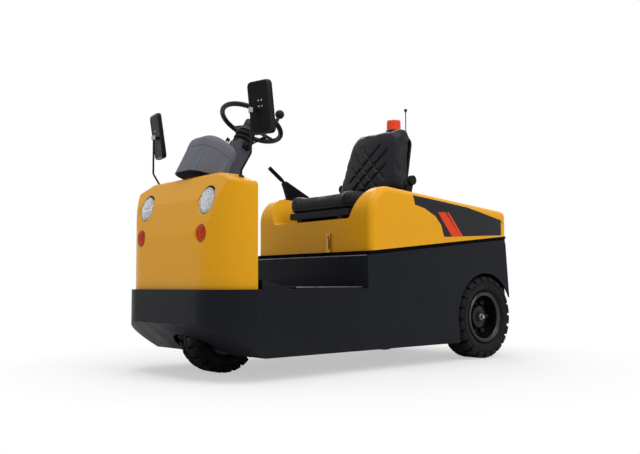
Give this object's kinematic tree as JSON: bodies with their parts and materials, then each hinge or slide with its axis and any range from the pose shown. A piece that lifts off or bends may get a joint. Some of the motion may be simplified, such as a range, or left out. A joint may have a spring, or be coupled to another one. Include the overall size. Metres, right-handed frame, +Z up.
{
  "type": "electric tow tractor",
  "caption": "Electric tow tractor with a low footwell, a driver's seat on a hinged battery hood, a steered front wheel under the nose and a pin tow coupling at the rear.",
  "frame": {"origin": "on the ground under the middle of the vehicle's length and width", "axes": "+X forward to the nose, +Y to the driver's left, +Z up"},
  "size_m": [2.1509, 1.0388, 1.483],
  "materials": {
    "yellow_paint": "gloss enamel",
    "charcoal_paint": "satin enamel",
    "frame_paint": "satin enamel",
    "black_rubber": "matt",
    "tyre_rubber": "matt",
    "rim_paint": "satin",
    "cast_iron": "as cast, painted",
    "bright_steel": "zinc plated",
    "battery_case": "coated",
    "grey_plastic": "grained",
    "black_plastic": "grained",
    "lamp_chrome": "polished",
    "lamp_glass": "clear",
    "amber_lens": "moulded",
    "beacon_red": "moulded",
    "rear_lamp_red": "moulded",
    "seat_cover": "quilted imitation leather",
    "latch_brass": "plated"
  },
  "bodies": {
    "chassis": {"side_plate_left": "charcoal_paint", "side_plate_right": "charcoal_paint", "top_rails": "charcoal_paint", "hood_seal": "black_rubber", "nose_plate": "charcoal_paint", "belly_plate": "charcoal_paint", "deck_plate": "frame_paint", "toe_boards": "frame_paint", "floor_mat": "black_rubber", "console": "frame_paint", "battery_wall": "charcoal_paint", "bulkhead": "frame_paint", "battery_tray": "frame_paint", "battery": "battery_case", "rear_wall": "charcoal_paint", "axle_hangers": "frame_paint", "rear_axle": "cast_iron", "drive_motor": "frame_paint", "tow_jaw": "cast_iron", "rear_lamps": "rear_lamp_red", "hinge_carriers": "frame_paint", "cowl": "yellow_paint", "dash_panel": "grey_plastic", "lamp_cans": "lamp_chrome", "headlamp_lenses": "lamp_glass", "signal_lenses": "amber_lens", "steering_column": "grey_plastic", "binnacle": "grey_plastic", "pedals": "frame_paint", "mirror_arms": "frame_paint", "mirror_heads": "black_plastic"},
    "steering_wheel": {"steering_wheel": "black_plastic", "spinner_knob": "black_plastic"},
    "front_fork": {"front_fork": "frame_paint"},
    "front_wheel": {"front_rim": "rim_paint", "front_tyre": "tyre_rubber"},
    "rear_wheel_left": {"rear_rim_left": "rim_paint", "rear_tyre_left": "tyre_rubber"},
    "rear_wheel_right": {"rear_rim_right": "rim_paint", "rear_tyre_right": "tyre_rubber"},
    "hood": {"hood": "yellow_paint", "hinge_knuckles": "frame_paint", "hood_latch": "latch_brass", "seat_base": "frame_paint", "seat_cushion": "seat_cover", "seat_back_pad": "seat_cover", "seat_back_shell": "black_plastic", "recliner_knob": "black_plastic", "beacon_post": "frame_paint", "beacon_lens": "beacon_red", "aerial": "black_rubber", "brake_lever": "black_plastic"},
    "tow_pin": {"tow_pin": "bright_steel"}
  },
  "joints": [
    {"name": "front_steer", "type": "hinge", "parent": "chassis", "child": "front_fork", "pos_m": [0.76645, 0, 0.432], "axis": [0, 0, 1], "range_deg": [-75, 75]},
    {"name": "front_wheel_spin", "type": "hinge", "parent": "front_fork", "child": "front_wheel", "pos_m": [0.76645, 0, 0.2], "axis": [0, 1, 0], "continuous": true},
    {"name": "rear_wheel_left_spin", "type": "hinge", "parent": "chassis", "child": "rear_wheel_left", "pos_m": [-0.72955, 0.386, 0.2325], "axis": [0, 1, 0], "continuous": true},
    {"name": "rear_wheel_right_spin", "type": "hinge", "parent": "chassis", "child": "rear_wheel_right", "pos_m": [-0.72955, -0.386, 0.2325], "axis": [0, 1, 0], "continuous": true},
    {"name": "steering_wheel_turn", "type": "hinge", "parent": "chassis", "child": "steering_wheel", "pos_m": [0.57945, 0, 1.243], "axis": [-0.4695, 0, 0.8829], "range_deg": [-450, 450]},
    {"name": "hood_lift", "type": "hinge", "parent": "chassis", "child": "hood", "pos_m": [-0.95555, 0, 0.70279], "axis": [0, -1, 0], "range_deg": [0, 60]},
    {"name": "tow_pin_drop", "type": "slide", "parent": "chassis", "child": "tow_pin", "axis": [0, 0, -1], "range_m": [0, 0.09]}
  ],
  "couplings": [
    {"joint": "steering_wheel_turn", "follows": "front_steer", "ratio": 6}
  ]
}
